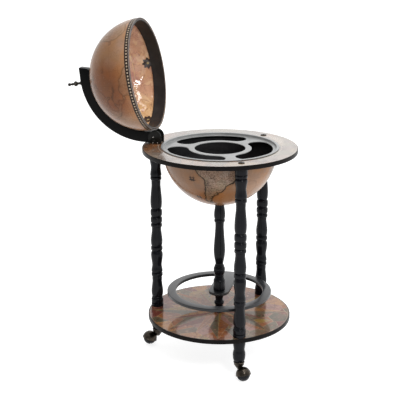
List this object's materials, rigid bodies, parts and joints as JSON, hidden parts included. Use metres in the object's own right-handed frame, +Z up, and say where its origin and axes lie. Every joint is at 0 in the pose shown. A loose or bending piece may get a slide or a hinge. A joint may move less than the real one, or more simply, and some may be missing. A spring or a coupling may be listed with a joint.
{
  "type": "floor globe bar",
  "caption": "Floor-standing globe bar with a hinged globe lid, bottle holder in the lower half, ring table, turned legs, low shelf with a bottle rail, and casters.",
  "frame": {"origin": "middle of the bounding box's bottom face, on the floor, with the centre post at y = -0.11785 m", "axes": "+Z up, +Y towards the lid's hinge, +X along the hinge pin"},
  "size_m": [0.4524, 0.688, 1.0087],
  "materials": {
    "turned_wood": "satin black lacquer on turned hardwood",
    "arm_wood": "satin black lacquer on bent and cut board",
    "table_print": "glossy lacquer over an antique print on board, dark edge",
    "shelf_print": "glossy lacquer over an antique print on board, dark edge",
    "globe_print": "varnished antique map print on a moulded shell",
    "holder_grey": "satin grey moulding",
    "inner_black": "matte black",
    "rim_liner": "satin dark brown strip",
    "black_iron": "satin black and dark bronze",
    "steel": "plain",
    "dark_bronze": "dark bronze patina",
    "antique_brass": "antique brass, worn bright on the high spots",
    "wheel_black": "satin blue-black"
  },
  "bodies": {
    "stand": {"base_shelf": "shelf_print", "bottle_ring": "arm_wood", "post_lower": "turned_wood", "post_upper": "turned_wood", "post_rod": "steel", "post_nut_lower": "steel", "post_nut_upper": "steel", "leg_back": "turned_wood", "foot_back": "turned_wood", "foot_stud_back": "steel", "caster_cup_back": "antique_brass", "leg_left": "turned_wood", "foot_left": "turned_wood", "foot_stud_left": "steel", "caster_cup_left": "antique_brass", "leg_right": "turned_wood", "foot_right": "turned_wood", "foot_stud_right": "steel", "caster_cup_right": "antique_brass", "top_stud_back": "steel", "top_bolt_left": "black_iron", "top_bolt_right": "black_iron", "table_ring": "table_print", "bowl": "globe_print", "bowl_floor": "inner_black", "bottle_holder": "holder_grey", "hinge_bracket": "black_iron", "bracket_screw_near": "black_iron", "bracket_screw_far": "black_iron", "hinge_pin": "steel"},
    "lid": {"lid_shell": "globe_print", "lid_rim_liner": "rim_liner", "meridian_arm": "arm_wood", "finial": "dark_bronze", "pole_spacer": "inner_black", "pole_nut": "steel", "rim_spacer": "inner_black", "rim_screw": "steel"},
    "caster_back": {"caster_hood_back": "antique_brass"},
    "wheels_back": {"wheel_outer_back": "wheel_black", "wheel_inner_back": "wheel_black", "axle_back": "steel"},
    "caster_left": {"caster_hood_left": "antique_brass"},
    "wheels_left": {"wheel_outer_left": "wheel_black", "wheel_inner_left": "wheel_black", "axle_left": "steel"},
    "caster_right": {"caster_hood_right": "antique_brass"},
    "wheels_right": {"wheel_outer_right": "wheel_black", "wheel_inner_right": "wheel_black", "axle_right": "steel"}
  },
  "joints": [
    {"name": "lid_hinge", "type": "hinge", "parent": "stand", "child": "lid", "pos_m": [0, 0.07615, 0.65465], "axis": [1, 0, 0], "range_deg": [0, 99.8]},
    {"name": "swivel_back", "type": "hinge", "parent": "stand", "child": "caster_back", "pos_m": [0, 0.07715, 0.03], "axis": [0, 0, 1], "continuous": true},
    {"name": "roll_back", "type": "hinge", "parent": "caster_back", "child": "wheels_back", "pos_m": [-0.00689, 0.10118, 0.02], "axis": [-0.5299, 0.848, 0], "continuous": true},
    {"name": "swivel_left", "type": "hinge", "parent": "stand", "child": "caster_left", "pos_m": [-0.16887, -0.21535, 0.03], "axis": [0, 0, 1], "continuous": true},
    {"name": "roll_left", "type": "hinge", "parent": "caster_left", "child": "wheels_left", "pos_m": [-0.18731, -0.23224, 0.02], "axis": [-0.5225, -0.8526, 0], "continuous": true},
    {"name": "swivel_right", "type": "hinge", "parent": "stand", "child": "caster_right", "pos_m": [0.16887, -0.21535, 0.03], "axis": [0, 0, 1], "continuous": true},
    {"name": "roll_right", "type": "hinge", "parent": "caster_right", "child": "wheels_right", "pos_m": [0.18935, -0.22969, 0.02], "axis": [0.9455, -0.3256, 0], "continuous": true}
  ]
}
